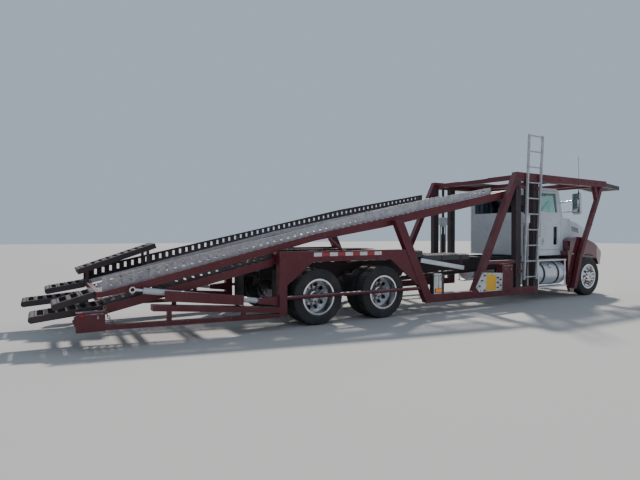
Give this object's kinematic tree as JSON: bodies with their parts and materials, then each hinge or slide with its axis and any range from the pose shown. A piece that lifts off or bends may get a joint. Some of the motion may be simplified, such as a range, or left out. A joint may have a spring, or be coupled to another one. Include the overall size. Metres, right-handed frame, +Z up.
{
  "type": "car transporter truck",
  "caption": "Rigid car transporter truck with a day cab, a tilting upper deck, a fixed lower deck, loading ramps and a rack over the cab.",
  "frame": {"origin": "on the ground under the middle of the length and width", "axes": "+X forwards to the hood, +Y to the left side of the truck, +Z up"},
  "size_m": [13.1, 2.8, 3.6599],
  "materials": {
    "red_paint": "dusty dark red paint",
    "maroon_paint": "gloss maroon paint",
    "white_paint": "gloss white paint",
    "chassis_paint": "worn dark paint",
    "galvanised_steel": "dull galvanised",
    "cast_steel": "grimy dark metal",
    "polished_aluminium": "polished",
    "tyre_rubber": "matt black",
    "bumper_chrome": "polished",
    "cylinder_paint": "white paint",
    "rod_chrome": "hard chrome",
    "window_glass": "green tint",
    "cab_plastic": "grained",
    "seat_cloth": "woven",
    "flap_rubber": "matt"
  },
  "bodies": {
    "truck": {"axles": "cast_steel", "brackets": "red_paint", "bumper": "bumper_chrome", "cab_fittings": "cab_plastic", "cab_glass": "window_glass", "cab_shell": "white_paint", "engine_driveline": "cast_steel", "frame": "chassis_paint", "fuel_tanks": "polished_aluminium", "head_rack_frame": "red_paint", "head_rack_posts": "red_paint", "head_rack_treads": "galvanised_steel", "ladder": "galvanised_steel", "lower_deck_frame": "red_paint", "lower_deck_treads": "galvanised_steel", "masts": "chassis_paint", "mirrors": "bumper_chrome", "mudflaps": "flap_rubber", "rear_frame": "red_paint", "seats": "seat_cloth", "side_boxes": "red_paint", "side_frames": "red_paint", "suspension": "cast_steel", "tandem_frames": "red_paint", "tow_eyes": "cast_steel"},
    "wheel_front_left": {"front_tyre_left": "tyre_rubber", "front_rim_left": "polished_aluminium"},
    "wheel_front_right": {"front_tyre_right": "tyre_rubber", "front_rim_right": "polished_aluminium"},
    "steer_left": {"knuckle_left": "cast_steel"},
    "steer_right": {"knuckle_right": "cast_steel"},
    "cab_door_left": {"door_left": "white_paint", "door_glass_left": "window_glass"},
    "cab_door_right": {"door_right": "white_paint", "door_glass_right": "window_glass"},
    "tilting_hood": {"hood": "white_paint", "fenders": "maroon_paint", "grille_and_lamps": "bumper_chrome"},
    "upper_deck": {"upper_deck_frame": "red_paint", "upper_deck_treads": "galvanised_steel", "deck_skids": "chassis_paint"},
    "ramp_upper_left": {"upper_ramp_left": "chassis_paint"},
    "ramp_upper_right": {"upper_ramp_right": "chassis_paint"},
    "ramp_lower_left": {"lower_ramp_left": "chassis_paint"},
    "ramp_lower_right": {"lower_ramp_right": "chassis_paint"},
    "barrel_left": {"lift_barrel_left": "cylinder_paint"},
    "barrel_right": {"lift_barrel_right": "cylinder_paint"},
    "rod_left": {"lift_rod_left": "rod_chrome"},
    "rod_right": {"lift_rod_right": "rod_chrome"},
    "drive_wheels_front_left": {"dual_tyres_front_left": "tyre_rubber", "dual_rims_front_left": "polished_aluminium"},
    "drive_wheels_front_right": {"dual_tyres_front_right": "tyre_rubber", "dual_rims_front_right": "polished_aluminium"},
    "drive_wheels_rear_left": {"dual_tyres_rear_left": "tyre_rubber", "dual_rims_rear_left": "polished_aluminium"},
    "drive_wheels_rear_right": {"dual_tyres_rear_right": "tyre_rubber", "dual_rims_rear_right": "polished_aluminium"}
  },
  "joints": [
    {"name": "steer_left", "type": "hinge", "parent": "truck", "child": "steer_left", "pos_m": [5.365, 0.88, 0.465], "axis": [0, 0, 1], "range_deg": [-30, 30]},
    {"name": "steer_right", "type": "hinge", "parent": "truck", "child": "steer_right", "pos_m": [5.365, -0.88, 0.465], "axis": [0, 0, 1], "range_deg": [-30, 30]},
    {"name": "front_wheel_left", "type": "hinge", "parent": "steer_left", "child": "wheel_front_left", "pos_m": [5.365, 1.037, 0.465], "axis": [0, 1, 0], "continuous": true},
    {"name": "front_wheel_right", "type": "hinge", "parent": "steer_right", "child": "wheel_front_right", "pos_m": [5.365, -1.037, 0.465], "axis": [0, 1, 0], "continuous": true},
    {"name": "drive_wheels_front_left", "type": "hinge", "parent": "truck", "child": "drive_wheels_front_left", "pos_m": [-1.01, 0.942, 0.465], "axis": [0, 1, 0], "continuous": true},
    {"name": "drive_wheels_front_right", "type": "hinge", "parent": "truck", "child": "drive_wheels_front_right", "pos_m": [-1.01, -0.942, 0.465], "axis": [0, 1, 0], "continuous": true},
    {"name": "drive_wheels_rear_left", "type": "hinge", "parent": "truck", "child": "drive_wheels_rear_left", "pos_m": [-2.345, 0.942, 0.465], "axis": [0, 1, 0], "continuous": true},
    {"name": "drive_wheels_rear_right", "type": "hinge", "parent": "truck", "child": "drive_wheels_rear_right", "pos_m": [-2.345, -0.942, 0.465], "axis": [0, 1, 0], "continuous": true},
    {"name": "door_left", "type": "hinge", "parent": "truck", "child": "cab_door_left", "pos_m": [4.547, 0.95, 1.825], "axis": [0, 0, -1], "range_deg": [0, 65]},
    {"name": "door_right", "type": "hinge", "parent": "truck", "child": "cab_door_right", "pos_m": [4.547, -0.95, 1.825], "axis": [0, 0, 1], "range_deg": [0, 65]},
    {"name": "hood_tilt", "type": "hinge", "parent": "truck", "child": "tilting_hood", "pos_m": [6.04, 0, 0.74], "axis": [0, 1, 0], "range_deg": [0, 50]},
    {"name": "deck_tilt", "type": "hinge", "parent": "truck", "child": "upper_deck", "pos_m": [2.255, 0, 2.335], "axis": [0, 1, 0], "range_deg": [0, 11]},
    {"name": "upper_ramp_left", "type": "hinge", "parent": "upper_deck", "child": "ramp_upper_left", "pos_m": [-5.6725, 0.76, 0.737], "axis": [0, 1, 0], "range_deg": [0, 40]},
    {"name": "upper_ramp_right", "type": "hinge", "parent": "upper_deck", "child": "ramp_upper_right", "pos_m": [-5.6725, -0.76, 0.737], "axis": [0, 1, 0], "range_deg": [0, 95]},
    {"name": "lower_ramp_left", "type": "hinge", "parent": "truck", "child": "ramp_lower_left", "pos_m": [-5.574, 0.76, 0.461], "axis": [0, -1, 0], "range_deg": [0, 20]},
    {"name": "lower_ramp_right", "type": "hinge", "parent": "truck", "child": "ramp_lower_right", "pos_m": [-5.574, -0.76, 0.461], "axis": [0, -1, 0], "range_deg": [0, 20]},
    {"name": "barrel_swing_left", "type": "hinge", "parent": "truck", "child": "barrel_left", "pos_m": [-3.375, 1.205, 0.47], "axis": [0, 1, 0], "range_deg": [0, 32.2]},
    {"name": "rod_slide_left", "type": "slide", "parent": "barrel_left", "child": "rod_left", "axis": [-0.9889, 0, 0.1489], "range_m": [0, 0.79]},
    {"name": "barrel_swing_right", "type": "hinge", "parent": "truck", "child": "barrel_right", "pos_m": [-3.375, -1.205, 0.47], "axis": [0, 1, 0], "range_deg": [0, 32.2]},
    {"name": "rod_slide_right", "type": "slide", "parent": "barrel_right", "child": "rod_right", "axis": [-0.9889, 0, 0.1489], "range_m": [0, 0.79]}
  ],
  "couplings": [
    {"joint": "steer_right", "follows": "steer_left", "ratio": 1},
    {"joint": "barrel_swing_left", "follows": "deck_tilt", "ratio": 2.9168},
    {"joint": "rod_slide_left", "follows": "deck_tilt", "m_per_rad": 4.1027},
    {"joint": "barrel_swing_right", "follows": "deck_tilt", "ratio": 2.9168},
    {"joint": "rod_slide_right", "follows": "deck_tilt", "m_per_rad": 4.1027}
  ]
}
